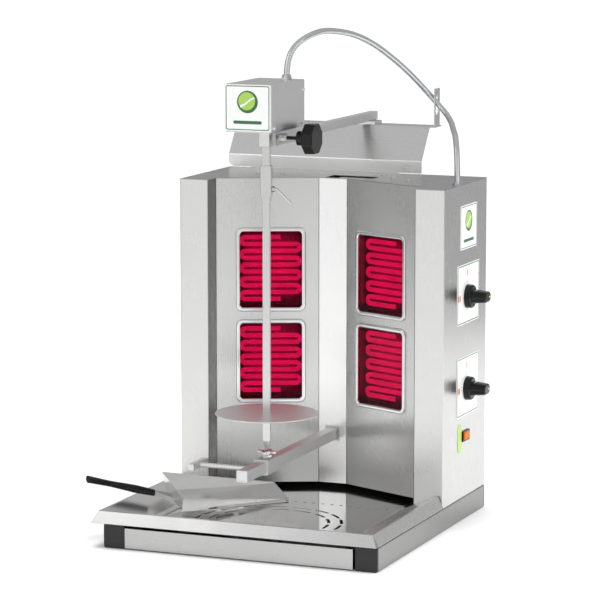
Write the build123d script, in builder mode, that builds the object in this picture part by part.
from build123d import *
from math import atan2, cos, degrees, hypot, pi, radians, sin
import os

# Vertical rotisserie broiler: electric cabinet with two heater walls, driven spit, tray and drawer.
os.makedirs("parts", exist_ok=True)

# ---- Driving dimensions, mm. X is right, Y is back, Z is up; z = 0 is the table. ----
WIDTH = 480.0                 # cabinet and base, side to side
BASE_DEPTH = 526.0            # base, front to back
BASE_HEIGHT = 40.0
CABINET_TOP = 578.0
CABINET_FRONT = 45.0          # y of the cabinet's front flanges
SHEET = 1.2                   # steel sheet of the casing
BEND = 2.0                    # outer bend radius of the sheet
FLANGE = 53.0                 # width of each front flange
RETURN_DEPTH = 33.0           # flange edge back to the heater panel
STRIP_HALF = 25.8             # half width of the flat strip between the heater panels
STRIP_Y = 150.6               # front face of that strip
PANEL_BOTTOM = 46.0           # underside of the heater panels

WINDOW_OFFSET = 94.0          # window centre from the panel's outer edge, along the panel
WINDOW_HEIGHTS = (259.5, 419.0)
GLASS_WIDTH = 106.0           # visible glass
GLASS_HEIGHT = 131.5
BEZEL = 7.4                   # width of the bright frame round the glass
ELEMENT_RUNS = 10
ELEMENT_PITCH = 12.0
ELEMENT_WIDTH = 7.4

SPIT_Y = -145.0               # axis of the spit
SPIT_TURN = 16.0              # the square spit's turn about its own axis, degrees
SPIT_SQUARE = 12.0
SHAFT_ROUND = 6.0             # radius of the drive shaft's round end
RUNNING_FIT = 0.05            # radial clearance of a shaft in its bore
DISC_RADIUS = 85.0
DISC_Z = 219.0

ARM_Z = 670.0                 # centre of the upper arm
ARM_SQUARE = 15.0
CLAMP_Y = -101.0              # clamp screw axis
MOTOR_Z = 690.0               # underside of the motor box
MOTOR_TOP = 765.0
MOTOR_HALF = 40.5
MOTOR_FRONT = -221.0
MOTOR_REAR = -80.0

KNOB_Y = 162.0                # switch knobs on the right side
SWITCH_HEIGHTS = {"upper": 385.5, "lower": 227.3}
SPINDLE = 3.0                 # radius of a switch spindle
ROCKER_Y = 158.0              # mains rocker, below the knobs
ROCKER_Z = 146.0
ROCKER_WIDTH = 34.0
ROCKER_TALL = 18.0

LOWER_Z = 134.0               # centre of the lower arm
LOWER_SQUARE = 19.0
TRAY_SHIFT = -8.0             # the loose tray sits a little to the left
TRAY_FLOOR_Z = 37.0
TRAY_CREST_Z = 60.0
CONDUIT_RADIUS = 5.0

HALF = WIDTH / 2
BACK = BASE_DEPTH / 2
FLANGE_EDGE = HALF - FLANGE
PANEL_START_Y = CABINET_FRONT + RETURN_DEPTH
PANEL_RUN = FLANGE_EDGE - STRIP_HALF
PANEL_RISE = STRIP_Y - PANEL_START_Y
PANEL_ANGLE = degrees(atan2(PANEL_RISE, PANEL_RUN))
PANEL_LENGTH = hypot(PANEL_RUN, PANEL_RISE)
CASING_TOP = CABINET_TOP - SHEET
REAR_INNER = BACK - SHEET

SIDES = {"left": -1, "right": 1}
LEVELS = dict(zip(("lower", "upper"), WINDOW_HEIGHTS))


def finish(piece, name):
    """Label a finished piece and write it as its own STEP file."""
    piece.part.label = name
    export_step(piece.part, f"parts/{name}.step")


def window_plane(side, height, inward=0.0):
    """Plane at a window's centre: x to the right along the panel, y up, z out of the panel's front."""
    slope = radians(PANEL_ANGLE)
    x_dir = (cos(slope), -side * sin(slope), 0)
    front = (-side * sin(slope), -cos(slope), 0)
    centre_x = side * (FLANGE_EDGE - WINDOW_OFFSET * cos(slope))
    centre_y = PANEL_START_Y + WINDOW_OFFSET * sin(slope)
    origin = (centre_x - front[0] * inward, centre_y - front[1] * inward, height)
    return Plane(origin=origin, x_dir=x_dir, z_dir=front)


# ======== Base ========
RAIL_WIDTH = 38.0
RAIL_WALL = 1.5
CAP_FRONT = 6.0               # thickness of the plastic end caps, front and rear
CAP_REAR = 2.0
RAIL_INNER = HALF - RAIL_WIDTH
RAIL_X = HALF - RAIL_WIDTH / 2
RAIL_FRONT = -BACK + 2
RAIL_REAR = BACK - CAP_REAR - 0.1

for side_name, side in SIDES.items():
    with BuildPart() as base_rail:
        with BuildSketch(Plane.XZ.offset(-RAIL_REAR)):
            with Locations((side * RAIL_X, BASE_HEIGHT / 2)):
                RectangleRounded(RAIL_WIDTH, BASE_HEIGHT, 2.5)
                Rectangle(RAIL_WIDTH - 2 * RAIL_WALL, BASE_HEIGHT - 2 * RAIL_WALL, mode=Mode.SUBTRACT)
        extrude(amount=RAIL_REAR - RAIL_FRONT)
    finish(base_rail, f"base_rail_{side_name}")

# Moulded plastic caps close the rails' ends.
with BuildPart() as foot_caps:
    for cap_face, thick in ((RAIL_FRONT - 0.1, CAP_FRONT), (BACK, CAP_REAR)):
        with BuildSketch(Plane.XZ.offset(-cap_face)):
            with Locations((-RAIL_X, BASE_HEIGHT / 2), (RAIL_X, BASE_HEIGHT / 2)):
                RectangleRounded(RAIL_WIDTH, BASE_HEIGHT, 3.5)
        extrude(amount=thick)
    fillet(foot_caps.faces().sort_by(Axis.Y)[:2].edges(), 1.5)
finish(foot_caps, "foot_caps")

# Floor of the base, with an upturned rear edge that closes the drawer bay.
with BuildPart() as base_plate:
    with BuildSketch(Plane.YZ.offset(-RAIL_INNER + 0.6)):
        with BuildLine():
            FilletPolyline((-BACK + 1, 0), (BACK, 0), (BACK, BASE_HEIGHT - 1), radius=BEND)
            offset(amount=1.5, side=Side.LEFT)
        make_face()
    extrude(amount=2 * (RAIL_INNER - 0.6))
finish(base_plate, "base_plate")

# ======== Casing ========
side_points = [
    (HALF - 18, REAR_INNER - 0.3),
    (HALF, REAR_INNER - 0.3),
    (HALF, CABINET_FRONT),
    (FLANGE_EDGE, CABINET_FRONT),
    (FLANGE_EDGE, PANEL_START_Y - 0.4),
]
for side_name, side in SIDES.items():
    with BuildPart() as side_panel:
        with BuildSketch(Plane.XY.offset(BASE_HEIGHT + 0.6)):
            with BuildLine():
                FilletPolyline(*[(side * x, y) for x, y in side_points], radius=BEND)
                offset(amount=SHEET, side=Side.RIGHT if side > 0 else Side.LEFT)
            make_face()
        extrude(amount=CASING_TOP - BASE_HEIGHT - 0.6)
        if side > 0:
            with BuildSketch(Plane.YZ.offset(HALF)):
                with Locations(*[(KNOB_Y, height) for height in SWITCH_HEIGHTS.values()]):
                    Circle(SPINDLE + 1)
                with Locations((ROCKER_Y, ROCKER_Z)):
                    Rectangle(ROCKER_WIDTH - 4, ROCKER_TALL - 4)
            extrude(amount=-3, mode=Mode.SUBTRACT)
    finish(side_panel, f"side_panel_{side_name}")

LOUVRE_ROWS = 6
with BuildPart() as rear_panel:
    with BuildSketch(Plane.XZ.offset(-BACK)):
        with Locations((0, (BASE_HEIGHT + CASING_TOP) / 2)):
            Rectangle(WIDTH - 1, CASING_TOP - BASE_HEIGHT - 1.2)
        for vent_x in (-130, 130):
            with Locations((vent_x, 440)):
                with GridLocations(0, 14, 1, LOUVRE_ROWS):
                    SlotOverall(110, 5, mode=Mode.SUBTRACT)
        with Locations((150, 90)):
            Circle(8.2, mode=Mode.SUBTRACT)
    extrude(amount=SHEET)
finish(rear_panel, "rear_panel")

# Top plate: follows the flanges and heater panels, with a flue opening behind the centre strip.
FLUE_WIDTH = 84.0
FLUE_DEPTH = 44.0
FLUE_X = 26.0
FLUE_Y = 176.0
CONDUIT_EXIT = (231.0, 133.0)
with BuildPart() as top_plate:
    with BuildSketch(Plane.XY.offset(CASING_TOP + 0.05)):
        with BuildLine():
            Polyline(
                (-HALF, CABINET_FRONT),
                (-FLANGE_EDGE, CABINET_FRONT),
                (-FLANGE_EDGE, PANEL_START_Y),
                (-STRIP_HALF, STRIP_Y),
                (STRIP_HALF, STRIP_Y),
                (FLANGE_EDGE, PANEL_START_Y),
                (FLANGE_EDGE, CABINET_FRONT),
                (HALF, CABINET_FRONT),
                (HALF, BACK),
                (-HALF, BACK),
                close=True,
            )
        make_face()
        with Locations((FLUE_X, FLUE_Y)):
            Rectangle(FLUE_WIDTH, FLUE_DEPTH, mode=Mode.SUBTRACT)
        with Locations(CONDUIT_EXIT):
            Circle(CONDUIT_RADIUS + 1, mode=Mode.SUBTRACT)
    extrude(amount=SHEET - 0.05)
finish(top_plate, "top_plate")

# Slanted sheet in the flue that throws the hot air forwards, short of the opening's left end.
BAFFLE_LEFT = -4.0
with BuildPart() as flue_baffle:
    with BuildSketch(Plane.YZ.offset(BAFFLE_LEFT)):
        with BuildLine():
            Polyline((FLUE_Y - 20, 566), (FLUE_Y + FLUE_DEPTH / 2 - 0.6, 575.4))
            offset(amount=SHEET, side=Side.RIGHT)
        make_face()
    extrude(amount=FLUE_X + FLUE_WIDTH / 2 - 0.6 - BAFFLE_LEFT)
finish(flue_baffle, "flue_baffle")

with BuildPart() as cabinet_floor:
    with BuildSketch(Plane.XY.offset(PANEL_BOTTOM - 1)):
        with BuildLine():
            Polyline(
                (-FLANGE_EDGE - 3, PANEL_START_Y + 3),
                (-STRIP_HALF, STRIP_Y + 3),
                (STRIP_HALF, STRIP_Y + 3),
                (FLANGE_EDGE + 3, PANEL_START_Y + 3),
                (HALF - 2, PANEL_START_Y + 3),
                (HALF - 2, REAR_INNER - 2),
                (-HALF + 2, REAR_INNER - 2),
                (-HALF + 2, PANEL_START_Y + 3),
                close=True,
            )
        make_face()
    extrude(amount=SHEET)
finish(cabinet_floor, "cabinet_floor")

# ======== Heater walls ========
panel_height = CASING_TOP - PANEL_BOTTOM
for side_name, side in SIDES.items():
    with BuildPart() as heater_panel:
        with BuildSketch(window_plane(side, PANEL_BOTTOM)):
            with Locations((side * (WINDOW_OFFSET - PANEL_LENGTH / 2), panel_height / 2)):
                Rectangle(PANEL_LENGTH - 0.6, panel_height)
            for height in WINDOW_HEIGHTS:
                with Locations((0, height - PANEL_BOTTOM)):
                    RectangleRounded(GLASS_WIDTH + 2, GLASS_HEIGHT + 2, 7, mode=Mode.SUBTRACT)
        extrude(amount=-SHEET)
    finish(heater_panel, f"heater_panel_{side_name}")

ARM_HOLE = LOWER_SQUARE + 7
with BuildPart() as centre_strip:
    with BuildSketch(Plane.XZ.offset(-STRIP_Y)):
        with Locations((0, PANEL_BOTTOM + panel_height / 2)):
            Rectangle(2 * STRIP_HALF - 0.8, panel_height)
        with Locations((0, LOWER_Z)):
            RectangleRounded(ARM_HOLE, ARM_HOLE, 2, mode=Mode.SUBTRACT)
    extrude(amount=-SHEET)
finish(centre_strip, "centre_strip")

GLASS_THICK = 4.0
GLASS_LAP = 3.0
REFLECTOR_DEPTH = 42.0
for side_name, side in SIDES.items():
    for level_name, height in LEVELS.items():
        where = f"{side_name}_{level_name}"

        # Stamped bright bezel round the window, rounded on both edges.
        with BuildPart() as window_frame:
            with BuildSketch(window_plane(side, height)):
                RectangleRounded(GLASS_WIDTH + 2 * BEZEL, GLASS_HEIGHT + 2 * BEZEL, 12)
                RectangleRounded(GLASS_WIDTH, GLASS_HEIGHT, 6, mode=Mode.SUBTRACT)
            extrude(amount=4)
            bezel_front = window_frame.faces().filter_by(lambda f: f.area > 500).sort_by_distance(
                (0, SPIT_Y, height)
            )[0]
            fillet(bezel_front.edges(), 2.4)
        finish(window_frame, f"window_frame_{where}")

        # Serpentine element: level runs joined by half turns, first and last run cut short.
        left_x = -GLASS_WIDTH / 2 + 9
        right_x = GLASS_WIDTH / 2 - 9
        short_x = GLASS_WIDTH / 2 - 36
        run_top = ELEMENT_PITCH * (ELEMENT_RUNS - 1) / 2
        with BuildPart() as heating_element:
            with BuildSketch(window_plane(side, height, 17)):
                with BuildLine():
                    for run in range(ELEMENT_RUNS):
                        run_y = run_top - run * ELEMENT_PITCH
                        end_x = short_x if run in (0, ELEMENT_RUNS - 1) else right_x
                        Line((left_x, run_y), (end_x, run_y))
                        if run < ELEMENT_RUNS - 1:
                            turn_x = left_x if run % 2 == 0 else right_x
                            bulge = -ELEMENT_PITCH / 2 if run % 2 == 0 else ELEMENT_PITCH / 2
                            ThreePointArc(
                                (turn_x, run_y),
                                (turn_x + bulge, run_y - ELEMENT_PITCH / 2),
                                (turn_x, run_y - ELEMENT_PITCH),
                            )
                trace(line_width=ELEMENT_WIDTH)
            extrude(amount=-2.5)
        finish(heating_element, f"heating_element_{where}")

    with BuildPart() as window_glass:
        for height in WINDOW_HEIGHTS:
            with BuildSketch(window_plane(side, height, SHEET + 0.1)):
                Rectangle(GLASS_WIDTH + 2 * GLASS_LAP + 2, GLASS_HEIGHT + 2 * GLASS_LAP + 2)
            extrude(amount=-GLASS_THICK)
    finish(window_glass, f"window_glass_{side_name}")

    # Two reflector pans, open towards their glass.
    with BuildPart() as reflectors:
        for height in WINDOW_HEIGHTS:
            pan_plane = window_plane(side, height, SHEET + GLASS_THICK + 0.6)
            with BuildSketch(pan_plane):
                Rectangle(GLASS_WIDTH + 10, GLASS_HEIGHT + 10)
            extrude(amount=-REFLECTOR_DEPTH)
            with BuildSketch(pan_plane):
                Rectangle(GLASS_WIDTH + 7, GLASS_HEIGHT + 7)
            extrude(amount=-REFLECTOR_DEPTH + 1.5, mode=Mode.SUBTRACT)
    finish(reflectors, f"reflectors_{side_name}")

# ======== Upper bracket and arm ========
BRACKET_LEFT = -243.0
BRACKET_RIGHT = 120.0
BRACKET_SHEET = 1.8
BRACKET_FLANGE_Z = 656.8
TAB_X = 128.0
bracket_width = BRACKET_RIGHT - BRACKET_LEFT
with BuildPart() as upper_bracket:
    with BuildSketch(Plane.YZ.offset(BRACKET_LEFT)):
        with BuildLine():
            FilletPolyline(
                (BACK + 0.2, 532),
                (BACK + 0.2, 600),
                (304, BRACKET_FLANGE_Z),
                (344, BRACKET_FLANGE_Z),
                radius=4,
            )
            offset(amount=BRACKET_SHEET, side=Side.RIGHT)
        make_face()
    extrude(amount=bracket_width)
    # Below the cabinet's top edge only a narrower skirt stays, with rounded shoulders.
    with BuildSketch(Plane.XZ.offset(-BACK - 10)):
        with Locations((BRACKET_LEFT, 540), (BRACKET_RIGHT, 540)):
            Rectangle(86, 78, mode=Mode.ADD)
    extrude(amount=20, mode=Mode.SUBTRACT)
    corner_edges = upper_bracket.edges().filter_by(Axis.Y).filter_by_position(Axis.Z, 578.5, 579.5)
    outer_edges = corner_edges.filter_by(lambda e: abs(e.center().X - BRACKET_LEFT) < 1)
    fillet(outer_edges, 10)
    # Flange end, and the slotted tab that carries the conduit.
    with Locations(((BRACKET_RIGHT + TAB_X) / 2 - 1, 325, BRACKET_FLANGE_Z - BRACKET_SHEET / 2)):
        Box(TAB_X - BRACKET_RIGHT + 2, 38, BRACKET_SHEET)
    with BuildSketch(Plane.YZ.offset(TAB_X - 2)):
        with Locations((322, BRACKET_FLANGE_Z + 32)):
            Rectangle(25, 68)
        with Locations((321, 693)):
            SlotOverall(34, 15, rotation=90, mode=Mode.SUBTRACT)
    extrude(amount=2)
    # Saddle block under the arm.
    with Locations((0, 325, (BRACKET_FLANGE_Z + ARM_Z - ARM_SQUARE / 2) / 2)):
        Box(34, 34, ARM_Z - ARM_SQUARE / 2 - BRACKET_FLANGE_Z)
finish(upper_bracket, "upper_bracket")

ARM_FRONT = -105.5            # under the clamp screw, and 30 mm clear of the bearing block
ARM_REAR = 347.0
with BuildPart() as upper_arm:
    with BuildSketch(Plane.XZ.offset(-ARM_FRONT)):
        with Locations((0, ARM_Z)):
            RectangleRounded(ARM_SQUARE, ARM_SQUARE, 1.5)
            Rectangle(ARM_SQUARE - 3, ARM_SQUARE - 3, mode=Mode.SUBTRACT)
    extrude(amount=-(ARM_REAR - ARM_FRONT))
finish(upper_arm, "upper_arm")

# ======== Motor carriage ========
SLEEVE_OUT = 25.0             # sleeve that slides on the upper arm
SLEEVE_REAR = -48.0
SLEEVE_FRONT = -136.0
BLOCK_HALF = 9.0              # bearing block round the drive shaft
CARRIAGE_BOTTOM = 659.5
KNOB_SCREW = 3.0
with BuildPart() as motor_bracket:
    with BuildSketch(Plane.XY.offset(MOTOR_Z - 2)):
        with Locations((0, (MOTOR_FRONT + MOTOR_REAR) / 2)):
            Rectangle(2 * MOTOR_HALF - 3, MOTOR_REAR - MOTOR_FRONT - 3)
    extrude(amount=2)
    with BuildSketch(Plane.XZ.offset(-SLEEVE_REAR)):
        with Locations((0, (CARRIAGE_BOTTOM + MOTOR_Z - 2) / 2)):
            Rectangle(SLEEVE_OUT, MOTOR_Z - 2 - CARRIAGE_BOTTOM)
        with Locations((0, ARM_Z)):
            Rectangle(ARM_SQUARE + 0.8, ARM_SQUARE + 0.8, mode=Mode.SUBTRACT)
    extrude(amount=SLEEVE_REAR - SLEEVE_FRONT)
    with Locations((0, (SPIT_Y - BLOCK_HALF + SLEEVE_FRONT) / 2, (CARRIAGE_BOTTOM + MOTOR_Z - 2) / 2)):
        Box(2 * BLOCK_HALF, SLEEVE_FRONT - SPIT_Y + BLOCK_HALF, MOTOR_Z - 2 - CARRIAGE_BOTTOM)
    with BuildSketch(Plane.XY.offset(CARRIAGE_BOTTOM)):
        with Locations((0, SPIT_Y)):
            Circle(SHAFT_ROUND + RUNNING_FIT)
    extrude(amount=MOTOR_Z - CARRIAGE_BOTTOM, mode=Mode.SUBTRACT)
    with BuildSketch(Plane.YZ.offset(SLEEVE_OUT / 2)):
        with Locations((CLAMP_Y, ARM_Z)):
            Circle(7)
    extrude(amount=7)
    with BuildSketch(Plane.YZ.offset(SLEEVE_OUT / 2 + 7)):
        with Locations((CLAMP_Y, ARM_Z)):
            Circle(KNOB_SCREW + RUNNING_FIT)
    extrude(amount=-12.5, mode=Mode.SUBTRACT)
finish(motor_bracket, "motor_bracket")

with BuildPart() as motor_housing:
    with Locations((0, (MOTOR_FRONT + MOTOR_REAR) / 2, MOTOR_Z)):
        Box(2 * MOTOR_HALF, MOTOR_REAR - MOTOR_FRONT, MOTOR_TOP - MOTOR_Z,
            align=(Align.CENTER, Align.CENTER, Align.MIN))
    fillet(motor_housing.edges().filter_by(Axis.X).sort_by(Axis.Z)[-2:], 2)
    fillet(motor_housing.edges().filter_by(Axis.Z), 1)
    offset(amount=-SHEET, openings=motor_housing.faces().sort_by(Axis.Z)[0])
finish(motor_housing, "motor_housing")

with BuildPart() as motor_badge:
    with BuildSketch(Plane.XZ.offset(-MOTOR_FRONT)):
        with Locations((-0.5, (MOTOR_Z + MOTOR_TOP) / 2)):
            RectangleRounded(79, 74.5, 4)
    extrude(amount=0.6)
finish(motor_badge, "motor_badge")

# Gearmotor: gear case with the shaft's socket, and the motor can above it.
GEAR_TOP = MOTOR_Z + 26
with BuildPart() as gearmotor:
    with Locations((0, SPIT_Y, MOTOR_Z + 0.1)):
        Box(62, 66, GEAR_TOP - MOTOR_Z - 0.1, align=(Align.CENTER, Align.CENTER, Align.MIN))
    with BuildSketch(Plane.XY.offset(GEAR_TOP)):
        with Locations((0, SPIT_Y)):
            Circle(29)
    extrude(amount=MOTOR_TOP - SHEET - 4 - GEAR_TOP)
    with BuildSketch(Plane.XY.offset(MOTOR_Z + 0.1)):
        with Locations((0, SPIT_Y)):
            Circle(SHAFT_ROUND + RUNNING_FIT)
    extrude(amount=18, mode=Mode.SUBTRACT)
finish(gearmotor, "gearmotor")

with BuildPart() as motor_screws:
    for side in (-1, 1):
        with BuildSketch(Plane.YZ.offset(side * MOTOR_HALF)):
            with Locations((MOTOR_REAR - 7, 749), (MOTOR_REAR - 12, 696), (MOTOR_FRONT + 12, 696)):
                Circle(3.4)
        extrude(amount=side * 2.2)
    fillet(motor_screws.edges().filter_by(GeomType.CIRCLE).group_by(Axis.X)[0], 1.2)
    fillet(motor_screws.edges().filter_by(GeomType.CIRCLE).group_by(Axis.X)[-1], 1.2)
finish(motor_screws, "motor_screws")

# Clamp screw with its lobed plastic knob.
KNOB_X = 52.0
KNOB_LENGTH = 19.0
with BuildPart() as clamp_knob:
    with BuildSketch(Plane.YZ.offset(ARM_SQUARE / 2 + 0.2)):
        with Locations((CLAMP_Y, ARM_Z)):
            Circle(KNOB_SCREW)
    extrude(amount=KNOB_X - ARM_SQUARE / 2 - 0.2)
    with BuildSketch(Plane.YZ.offset(KNOB_X - 14)):
        with Locations((CLAMP_Y, ARM_Z)):
            Circle(12)
    extrude(amount=14)
    with BuildSketch(Plane.YZ.offset(KNOB_X)):
        with Locations((CLAMP_Y, ARM_Z)):
            RegularPolygon(26.5, 8, rotation=22.5)
    extrude(amount=KNOB_LENGTH)
    fillet(clamp_knob.edges().filter_by(Axis.X).filter_by(lambda e: abs(e.length - KNOB_LENGTH) < 0.1), 4)
    fillet(clamp_knob.faces().sort_by(Axis.X)[-1].edges(), 2)
    chamfer(clamp_knob.faces().filter_by(Axis.X).filter_by(lambda f: abs(f.center().X - KNOB_X) < 0.5)
            .edges().filter_by(lambda e: e.length < 25), 1.5)
finish(clamp_knob, "clamp_knob")

# ======== Spit ========
SHAFT_SQUARE = 12.6
SHAFT_BOTTOM = 604.0
SLEEVE_LOW = 578.0
SLEEVE_HIGH = 628.0
TIP_Z = 154.0
turned = Plane((0, SPIT_Y, 0), x_dir=(cos(radians(SPIT_TURN)), sin(radians(SPIT_TURN)), 0))

with BuildPart() as drive_shaft:
    with BuildSketch(turned.offset(SHAFT_BOTTOM)):
        Rectangle(SHAFT_SQUARE, SHAFT_SQUARE)
    extrude(amount=CARRIAGE_BOTTOM - 0.5 - SHAFT_BOTTOM)
    with BuildSketch(turned.offset(CARRIAGE_BOTTOM - 0.5)):
        Circle(SHAFT_ROUND)
    extrude(amount=MOTOR_Z + 16 - CARRIAGE_BOTTOM)
    chamfer(drive_shaft.faces().sort_by(Axis.Z)[0].edges(), 0.8)
finish(drive_shaft, "drive_shaft")

with BuildPart() as spit_bar:
    with BuildSketch(turned.offset(174)):
        RectangleRounded(SPIT_SQUARE, SPIT_SQUARE, 0.8)
    extrude(amount=SHAFT_BOTTOM - 1 - 174)
    with BuildSketch(turned.offset(174)):
        Rectangle(SPIT_SQUARE - 0.2, SPIT_SQUARE - 0.2)
    with BuildSketch(turned.offset(TIP_Z)):
        Rectangle(1.6, 1.6)
    loft()
    with BuildSketch(turned.offset(SLEEVE_LOW - 8)):
        RectangleRounded(15, 15, 1.5)
    extrude(amount=7.9)
finish(spit_bar, "spit_bar")

# Meat plate: thin disc with a rolled rim, on a hub that fits the square bar.
with BuildPart() as meat_disc:
    with BuildSketch(turned.offset(DISC_Z)):
        Circle(DISC_RADIUS)
    extrude(amount=2)
    fillet(meat_disc.edges().filter_by(GeomType.CIRCLE), 0.9)
    with BuildSketch(turned.offset(DISC_Z - 12)):
        Circle(14)
    extrude(amount=12.5)
    with BuildSketch(turned.offset(DISC_Z - 12)):
        Rectangle(SPIT_SQUARE + 0.2, SPIT_SQUARE + 0.2)
    extrude(amount=16, mode=Mode.SUBTRACT)
finish(meat_disc, "meat_disc")

LOCK_Z = 590.0
LOCK_RADIUS = 2.5
with BuildPart() as coupling_sleeve:
    with BuildSketch(turned.offset(SLEEVE_LOW)):
        RectangleRounded(18.5, 18.5, 1.5)
        Rectangle(SHAFT_SQUARE + 0.5, SHAFT_SQUARE + 0.5, mode=Mode.SUBTRACT)
    extrude(amount=SLEEVE_HIGH - SLEEVE_LOW)
    lock_plane = Plane(turned.offset(LOCK_Z).origin, x_dir=(0, 0, 1), z_dir=turned.x_dir)
    with BuildSketch(lock_plane):
        Circle(LOCK_RADIUS + RUNNING_FIT)
    extrude(amount=12, mode=Mode.SUBTRACT)
finish(coupling_sleeve, "coupling_sleeve")

# Locking screw: nut, stud and a bent lever rod that slopes outwards and down.
LEVER = 33.0
lever_drop = LEVER * cos(radians(45))
stud_end = turned.offset(LOCK_Z).origin + turned.x_dir * 17
lever_end = stud_end + turned.x_dir * lever_drop + Vector(0, 0, -lever_drop)
with BuildPart() as lock_screw:
    with BuildSketch(lock_plane.offset(6.9)):
        Circle(LOCK_RADIUS)
    extrude(amount=8)
    with BuildSketch(lock_plane.offset(9.6)):
        RegularPolygon(4.8, 6)
    extrude(amount=4)
    with BuildLine() as lever_path:
        FilletPolyline(lock_plane.offset(13).origin, stud_end, lever_end, radius=4)
    with BuildSketch(lock_plane.offset(13)):
        Circle(2)
    sweep(path=lever_path.wire())
finish(lock_screw, "lock_screw")

# ======== Lower arm ========
LOWER_FRONT = -250.0
LOWER_REAR = 182.0
with BuildPart() as lower_arm:
    with BuildSketch(Plane.XZ.offset(-LOWER_FRONT)):
        with Locations((0, LOWER_Z)):
            RectangleRounded(LOWER_SQUARE, LOWER_SQUARE, 1.2)
            Rectangle(LOWER_SQUARE - 4, LOWER_SQUARE - 4, mode=Mode.SUBTRACT)
    extrude(amount=LOWER_FRONT - LOWER_REAR)
    with BuildSketch(Plane.XZ.offset(-LOWER_FRONT - 0.8)):
        with Locations((0, LOWER_Z)):
            Rectangle(LOWER_SQUARE - 4, LOWER_SQUARE - 4)
    extrude(amount=-4)
finish(lower_arm, "lower_arm")

CARRIER_SQUARE = 25.0
CARRIER_FRONT = -171.0
CARRIER_LENGTH = 53.0
CARRIER_TOP = LOWER_Z + CARRIER_SQUARE / 2
with BuildPart() as bearing_carrier:
    with BuildSketch(Plane.XZ.offset(-CARRIER_FRONT)):
        with Locations((0, LOWER_Z)):
            RectangleRounded(CARRIER_SQUARE, CARRIER_SQUARE, 2)
            Rectangle(LOWER_SQUARE + 0.1, LOWER_SQUARE + 0.1, mode=Mode.SUBTRACT)
    extrude(amount=-CARRIER_LENGTH)
finish(bearing_carrier, "bearing_carrier")

# Footstep bearing: hexagonal foot and a four-lobed cup whose cone takes the spit's point.
with BuildPart() as bearing_cup:
    with BuildSketch(Plane.XY.offset(CARRIER_TOP)):
        with Locations((0, SPIT_Y)):
            RegularPolygon(8.5, 6)
    extrude(amount=4.5)
    with BuildSketch(Plane.XY.offset(CARRIER_TOP + 4.5)):
        with Locations((0, SPIT_Y)):
            Circle(5.5)
    extrude(amount=3)
    with BuildSketch(Plane.XY.offset(CARRIER_TOP + 7)):
        with Locations((0, SPIT_Y)):
            Circle(9)
            with PolarLocations(12, 4):
                Circle(4.4)
    extrude(amount=4)
    with BuildSketch(Plane.XY.offset(CARRIER_TOP + 11)):
        with Locations((0, SPIT_Y)):
            Circle(4.6)
    extrude(amount=-5.5, taper=26, mode=Mode.SUBTRACT)
finish(bearing_cup, "bearing_cup")

HANDLE_Y = -195.0
HANDLE_LEFT = -98.0
HANDLE_BAR = 60.0
with BuildPart() as slider_handle:
    with BuildSketch(Plane.YZ.offset(-LOWER_SQUARE / 2)):
        with Locations((HANDLE_Y, LOWER_Z + 2)):
            Circle(4)
    extrude(amount=HANDLE_LEFT + LOWER_SQUARE / 2)
    with BuildSketch(Plane.XZ.offset(-HANDLE_Y - 2 - HANDLE_BAR / 2)):
        with Locations((HANDLE_LEFT - 4, LOWER_Z + 2)):
            RectangleRounded(10, 10, 1)
    extrude(amount=HANDLE_BAR)
finish(slider_handle, "slider_handle")

# Guide inside the cabinet that carries the sliding arm.
GUIDE_SQUARE = 24.0
with BuildPart() as arm_guide:
    with BuildSketch(Plane.XZ.offset(-STRIP_Y - SHEET)):
        with Locations((0, LOWER_Z)):
            Rectangle(GUIDE_SQUARE + 20, GUIDE_SQUARE + 20)
            Rectangle(LOWER_SQUARE + 0.6, LOWER_SQUARE + 0.6, mode=Mode.SUBTRACT)
    extrude(amount=-2)
    with BuildSketch(Plane.XZ.offset(-STRIP_Y - SHEET - 2)):
        with Locations((0, LOWER_Z)):
            Rectangle(GUIDE_SQUARE, GUIDE_SQUARE)
            Rectangle(LOWER_SQUARE + 0.6, LOWER_SQUARE + 0.6, mode=Mode.SUBTRACT)
    extrude(amount=-100)
finish(arm_guide, "arm_guide")

# ======== Controls on the right side ========
PLATE_Z_SHIFT = 5.2
CONTROL_Y = 167.0


with BuildPart() as side_badge:
    with BuildSketch(Plane.YZ.offset(HALF)):
        with Locations((CONTROL_Y, 504.5)):
            RectangleRounded(84, 75, 4)
    extrude(amount=0.5)
finish(side_badge, "side_badge")

KNOB_RADIUS = 20.6
KNOB_BASE = 11.0
KNOB_TALL = 37.0
for level_name, height in SWITCH_HEIGHTS.items():
    with BuildPart() as switch_plate:
        with BuildSketch(Plane.YZ.offset(HALF)):
            with Locations((CONTROL_Y, height + PLATE_Z_SHIFT)):
                RectangleRounded(111, 102, 2.5)
            with Locations((KNOB_Y, height)):
                Circle(SPINDLE + 1, mode=Mode.SUBTRACT)
        extrude(amount=0.8)
    finish(switch_plate, f"switch_plate_{level_name}")

    # Round skirt with a tapering wing grip across it, on a short spindle.
    with BuildPart() as knob:
        with BuildSketch(Plane.YZ.offset(HALF + 1.3)):
            with Locations((KNOB_Y, height)):
                Circle(KNOB_RADIUS)
        extrude(amount=KNOB_BASE, taper=5)
        with BuildSketch(Plane.YZ.offset(HALF + 1.3 + KNOB_BASE)):
            with Locations((KNOB_Y, height)):
                SlotOverall(35, 23)
        extrude(amount=KNOB_TALL - KNOB_BASE, taper=6)
        fillet(knob.faces().sort_by(Axis.X)[-1].edges(), 3)
        skirt_edges = knob.edges().filter_by(GeomType.CIRCLE).filter_by(lambda e: e.radius > 15)
        fillet(skirt_edges.sort_by(Axis.X)[-1], 3.5)
        with BuildSketch(Plane.YZ.offset(HALF + 1.4)):
            with Locations((KNOB_Y, height)):
                Circle(SPINDLE)
        extrude(amount=-6)
    finish(knob, f"knob_{level_name}")

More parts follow.
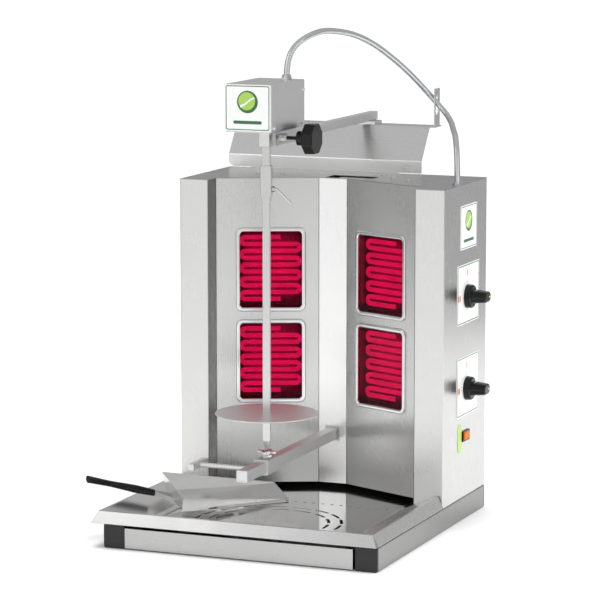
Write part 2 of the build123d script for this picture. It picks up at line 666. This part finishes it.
with BuildPart() as rocker_frame:
    with BuildSketch(Plane.YZ.offset(HALF)):
        with Locations((ROCKER_Y, ROCKER_Z)):
            RectangleRounded(ROCKER_WIDTH, ROCKER_TALL, 1.5)
            Rectangle(ROCKER_WIDTH - 6, ROCKER_TALL - 5, mode=Mode.SUBTRACT)
    extrude(amount=2.5)
finish(rocker_frame, "rocker_frame")

# Rocker button: dished face, higher at its front end, with a keel that rocks on a pivot along Z.
rocker_half = ROCKER_WIDTH / 2 - 4
with BuildPart() as rocker_button:
    with BuildSketch(Plane.XY.offset(ROCKER_Z - ROCKER_TALL / 2 + 3)):
        with BuildLine():
            Polyline(
                (HALF + 3, ROCKER_Y + rocker_half),
                (HALF + 0.5, ROCKER_Y + rocker_half),
                (HALF - 4, ROCKER_Y + 3),
                (HALF - 4, ROCKER_Y - 3),
                (HALF + 1.5, ROCKER_Y - rocker_half),
                (HALF + 5, ROCKER_Y - rocker_half),
            )
            ThreePointArc(
                (HALF + 5, ROCKER_Y - rocker_half),
                (HALF + 3.2, ROCKER_Y),
                (HALF + 3, ROCKER_Y + rocker_half),
            )
        make_face()
    extrude(amount=ROCKER_TALL - 6)
    with BuildSketch(Plane.XY.offset(ROCKER_Z - ROCKER_TALL / 2 + 2.2)):
        with Locations((HALF - 1, ROCKER_Y)):
            Circle(0.9)
    extrude(amount=ROCKER_TALL - 4.4)
finish(rocker_button, "rocker_button")

with BuildPart() as power_label:
    with BuildSketch(Plane.YZ.offset(HALF)):
        with Locations((128.5, 144.5)):
            SlotOverall(50, 20, rotation=90)
    extrude(amount=0.5)
finish(power_label, "power_label")

# Rotary switches behind the knobs, and the terminal block beside them.
with BuildPart() as switch_gear:
    for height in SWITCH_HEIGHTS.values():
        with BuildSketch(Plane.YZ.offset(HALF - SHEET - 0.2)):
            with Locations((KNOB_Y, height)):
                Rectangle(44, 44)
                Circle(SPINDLE + 1, mode=Mode.SUBTRACT)
        extrude(amount=-8)
        with BuildSketch(Plane.YZ.offset(HALF - SHEET - 8.2)):
            with Locations((KNOB_Y, height)):
                Rectangle(44, 44)
        extrude(amount=-22)
    with Locations((150, 246, 90)):
        Box(70, 22, 24)
finish(switch_gear, "switch_gear")

# ======== Screws, glands and conduit ========
TOP_SCREWS = ((-149, 173), (-110, 189), (98, 183), (135, 158), (68, 215))
REAR_SCREWS = [(x, z) for x in (-225, 225) for z in (70, 220, 370, 550)]
SKIRT_SCREWS = [(x, 552) for x in (-180, -60, 60)]
with BuildPart() as panel_screws:
    with BuildSketch(Plane.XY.offset(CABINET_TOP)):
        with Locations(*TOP_SCREWS):
            Circle(3.6)
    extrude(amount=2)
    with BuildSketch(Plane.XZ.offset(-BACK)):
        with Locations(*REAR_SCREWS):
            Circle(3.6)
    extrude(amount=-2)
    with BuildSketch(Plane.XZ.offset(-BACK - 0.2 - BRACKET_SHEET)):
        with Locations(*SKIRT_SCREWS):
            Circle(4.5)
    extrude(amount=-2.4)
finish(panel_screws, "panel_screws")

# Mains cable gland in the rear panel, and the grommet round the conduit in the top plate.
with BuildPart() as cable_glands:
    with BuildSketch(Plane.XZ.offset(-BACK)):
        with Locations((150, 90)):
            RegularPolygon(13, 6)
            Circle(5, mode=Mode.SUBTRACT)
    extrude(amount=-7)
    with BuildSketch(Plane.XZ.offset(-BACK - 7)):
        with Locations((150, 90)):
            Circle(10)
            Circle(5, mode=Mode.SUBTRACT)
    extrude(amount=-12)
    with BuildSketch(Plane.XY.offset(CABINET_TOP)):
        with Locations(CONDUIT_EXIT):
            Circle(CONDUIT_RADIUS + 3)
            Circle(CONDUIT_RADIUS + 0.3, mode=Mode.SUBTRACT)
    extrude(amount=3)
finish(cable_glands, "cable_glands")

GLAND_AT = (13.0, -90.0)      # where the conduit leaves the motor box
with BuildPart() as conduit_gland:
    with BuildSketch(Plane.XY.offset(MOTOR_TOP)):
        with Locations(GLAND_AT):
            RegularPolygon(9, 6)
            Circle(CONDUIT_RADIUS + 0.3, mode=Mode.SUBTRACT)
    extrude(amount=3)
    with BuildSketch(Plane.XY.offset(MOTOR_TOP + 3)):
        with Locations(GLAND_AT):
            Circle(7.4)
            Circle(CONDUIT_RADIUS + 0.3, mode=Mode.SUBTRACT)
    extrude(amount=4)
finish(conduit_gland, "conduit_gland")

# Flexible metal conduit, motor box to top plate, through the bracket's slotted tab.
CONDUIT_ROUTE = [
    (13, -90, 765),
    (13, -90, 790),
    (20, -78, 817),
    (36, -48, 835),
    (40, 26, 840),
    (58, 145, 822),
    (82, 272, 764),
    (115, 326, 708),
    (156, 311, 672),
    (186, 243, 656),
    (216, 165, 658),
    (231, 133, 621),
    (231, 133, 578),
]


def corner_radii(route):
    """Arc radius at each corner: 0.45 of the shorter run over the tangent of half the turn."""
    points = [Vector(*p) for p in route]
    radii = []
    for before, corner, after in zip(points, points[1:], points[2:]):
        run_in = corner - before
        run_out = after - corner
        half_turn = radians(run_in.get_angle(run_out)) / 2
        radii.append(0.45 * min(run_in.length, run_out.length) * cos(half_turn) / sin(half_turn))
    return radii


conduit_radii = corner_radii(CONDUIT_ROUTE)
print("conduit radii", [round(r) for r in conduit_radii])
with BuildPart() as conduit:
    with BuildLine() as conduit_path:
        FilletPolyline(*CONDUIT_ROUTE, radius=conduit_radii)
    with BuildSketch(Plane.XY.offset(MOTOR_TOP)):
        with Locations(GLAND_AT):
            Circle(CONDUIT_RADIUS)
    sweep(path=conduit_path.wire())
finish(conduit, "conduit")
conduit_length = conduit_path.wire().length
conduit_section = pi * CONDUIT_RADIUS**2
print("conduit length", round(conduit_length), "volume ratio",
      round(conduit.part.volume / (conduit_section * conduit_length), 4))

# ======== Drip tray ========
TRAY_SHEET = 1.2
CREST_HALF = 236.0            # tray centre to the rim's crest
CREST_FRONT = -262.0
WALL_RUN = 52.0               # inner wall, crest to floor, seen from above
SLOT_WIDTH = 5.0
TRAY_REAR = 205.0             # the floor runs back under the heater walls
tray_fold = [
    (-WALL_RUN - 14, TRAY_FLOOR_Z),
    (-WALL_RUN, TRAY_FLOOR_Z),
    (0, TRAY_CREST_Z),
    (4, TRAY_CREST_Z),
    (13, BASE_HEIGHT + 1.4),
]
floor_half = CREST_HALF - WALL_RUN
with BuildPart() as drip_tray:
    # Rim: one folded section carried round the left, front and right with mitred corners.
    with BuildLine() as rim_path:
        Polyline(
            (TRAY_SHIFT - CREST_HALF, CABINET_FRONT - 2, 0),
            (TRAY_SHIFT - CREST_HALF, CREST_FRONT, 0),
            (TRAY_SHIFT + CREST_HALF, CREST_FRONT, 0),
            (TRAY_SHIFT + CREST_HALF, CABINET_FRONT - 2, 0),
        )
    rim_plane = Plane((TRAY_SHIFT - CREST_HALF, CABINET_FRONT - 2, 0), x_dir=(-1, 0, 0), z_dir=(0, -1, 0))
    with BuildSketch(rim_plane):
        with BuildLine():
            Polyline(*[(x, -z) for x, z in tray_fold])
            offset(amount=TRAY_SHEET, side=Side.RIGHT)
        make_face()
    sweep(path=rim_path.wire(), transition=Transition.RIGHT)
    # Floor, with a narrower tongue that runs back under the heater panels.
    with BuildSketch(Plane.XY.offset(TRAY_FLOOR_Z - TRAY_SHEET)):
        with Locations((TRAY_SHIFT, (CREST_FRONT + WALL_RUN + CABINET_FRONT - 2) / 2)):
            Rectangle(2 * floor_half + 2, CABINET_FRONT - 2 - CREST_FRONT - WALL_RUN + 2)
        with Locations((TRAY_SHIFT, (CABINET_FRONT + TRAY_REAR) / 2)):
            Rectangle(2 * floor_half - 16, TRAY_REAR - CABINET_FRONT + 10)
    extrude(amount=TRAY_SHEET)
    # Two rings of arc slots round the spit, and a row of drain holes behind them.
    for ring_radius, count, sweep_angle in ((123, 18, 13.5), (102, 15, 15)):
        with BuildSketch(Plane.XY.offset(TRAY_FLOOR_Z)):
            with Locations((0, SPIT_Y)):
                for slot in range(count):
                    start = (slot - 0.15) * 360 / count
                    SlotArc(CenterArc((0, 0), ring_radius, start, sweep_angle), SLOT_WIDTH)
        extrude(amount=-2 * TRAY_SHEET, mode=Mode.SUBTRACT)
    with BuildSketch(Plane.XY.offset(TRAY_FLOOR_Z)):
        with Locations((0, 22)):
            with GridLocations(16.5, 0, 21, 1):
                Circle(3)
    extrude(amount=-2 * TRAY_SHEET, mode=Mode.SUBTRACT)
finish(drip_tray, "drip_tray")

# ======== Fat drawer ========
DRAWER_BOTTOM = 2.5
DRAWER_TOP = 33.0
DRAWER_FRONT = -267.0
DRAWER_FACE = 33.2            # height of the front panel, which stays under the sliding tray
with BuildPart() as fat_drawer:
    with Locations((-2, (DRAWER_FRONT + 200) / 2, DRAWER_BOTTOM)):
        Box(392, 200 - DRAWER_FRONT, DRAWER_TOP - DRAWER_BOTTOM,
            align=(Align.CENTER, Align.CENTER, Align.MIN))
    fillet(fat_drawer.edges().filter_by(Axis.Z), 4)
    offset(amount=-1.2, openings=fat_drawer.faces().sort_by(Axis.Z)[-1])
    with Locations((-1, DRAWER_FRONT - 0.7, 2.2)):
        Box(400, 1.6, DRAWER_FACE, align=(Align.CENTER, Align.CENTER, Align.MIN))
finish(fat_drawer, "fat_drawer")

# ======== Meat scoop, lying in the tray ========
SCOOP_YAW = 45.8
SCOOP_ROLL = 15.0             # it leans on the tray's sloping left side
SCOOP_LENGTH = 197.0
SCOOP_BACK = 36.5             # half width of the floor at the handle end
SCOOP_NOSE = 31.0             # half width of the floor at the tip
SCOOP_WALL = 31.0             # height of the walls at the handle end
SCOOP_LEAN = 14.0             # how far those walls lean outwards
SCOOP_SHEET = 1.4
scoop_lift = TRAY_FLOOR_Z + 1 + SCOOP_BACK * sin(radians(SCOOP_ROLL))
scoop_lean = sin(radians(SCOOP_ROLL))
scoop_floor = Plane((-190, -96, scoop_lift),
                    x_dir=(cos(radians(SCOOP_YAW)), sin(radians(SCOOP_YAW)), 0),
                    z_dir=(scoop_lean * sin(radians(SCOOP_YAW)), -scoop_lean * cos(radians(SCOOP_YAW)),
                           cos(radians(SCOOP_ROLL))))


def scoop_wall(points):
    """Flat sheet facet through the given corners, in the scoop's own axes."""
    corners = [scoop_floor.from_local_coords(Vector(*p)) for p in points]
    return Face(Wire.make_polygon(corners, close=True))


HANDLE_RISE = 0.3
HANDLE_ROOT = 8.0
handle_axis = Vector(-1, 0, HANDLE_RISE).normalized()
handle_start = scoop_floor.from_local_coords(Vector(-0.6, 0, HANDLE_ROOT))
handle_dir = scoop_floor.from_local_coords(Vector(-0.6, 0, HANDLE_ROOT) + handle_axis) - handle_start
handle_plane = Plane(handle_start, x_dir=scoop_floor.y_dir, z_dir=handle_dir)

with BuildPart() as scoop_pan:
    # Solid wedge with leaning sides, hollowed from above by the same wedge moved inwards.
    for inset, lift in ((0.0, 0.0), (SCOOP_SHEET, SCOOP_SHEET)):
        low = lift
        back_low = (inset, SCOOP_BACK - 0.4 * inset)
        nose_low = (SCOOP_LENGTH, SCOOP_NOSE - 0.4 * inset)
        top_back = (1.1 * inset - 6, SCOOP_BACK + SCOOP_LEAN - 1.1 * inset)
        top_nose = (SCOOP_LENGTH, SCOOP_NOSE + 2 - 0.4 * inset)
        rim_back = SCOOP_WALL + 0.01 * inset
        rim_nose = 2.0 + 0.01 * inset
        bottom = [(back_low[0], -back_low[1], low), (nose_low[0], -nose_low[1], low),
                  (nose_low[0], nose_low[1], low), (back_low[0], back_low[1], low)]
        rim = [(top_back[0], -top_back[1], rim_back), (top_nose[0], -top_nose[1], rim_nose),
               (top_nose[0], top_nose[1], rim_nose), (top_back[0], top_back[1], rim_back)]
        facets = [scoop_wall(bottom), scoop_wall(rim)]
        for k in range(4):
            quad = [bottom[k], bottom[(k + 1) % 4], rim[(k + 1) % 4], rim[k]]
            facets.append(scoop_wall([quad[0], quad[1], quad[2]]))
            facets.append(scoop_wall([quad[0], quad[2], quad[3]]))
        wedge = Solid(Shell(facets))
        add(wedge, mode=Mode.ADD if inset == 0 else Mode.SUBTRACT)
    # Flat shank from the back wall to the handle.
    with BuildSketch(handle_plane):
        Rectangle(22, 3)
    with BuildSketch(handle_plane.offset(40)):
        Rectangle(10, 6)
    loft()
finish(scoop_pan, "scoop_pan")

with BuildPart() as scoop_handle:
    for near, far, near_size, far_size in ((40.2, 75, (14, 11), (17, 13)), (75, 125, (17, 13), (12, 10)),
                                           (125, 165, (12, 10), (19, 11))):
        with BuildSketch(handle_plane.offset(near)):
            Ellipse(near_size[0] / 2, near_size[1] / 2)
        with BuildSketch(handle_plane.offset(far)):
            Ellipse(far_size[0] / 2, far_size[1] / 2)
        loft()
finish(scoop_handle, "scoop_handle")
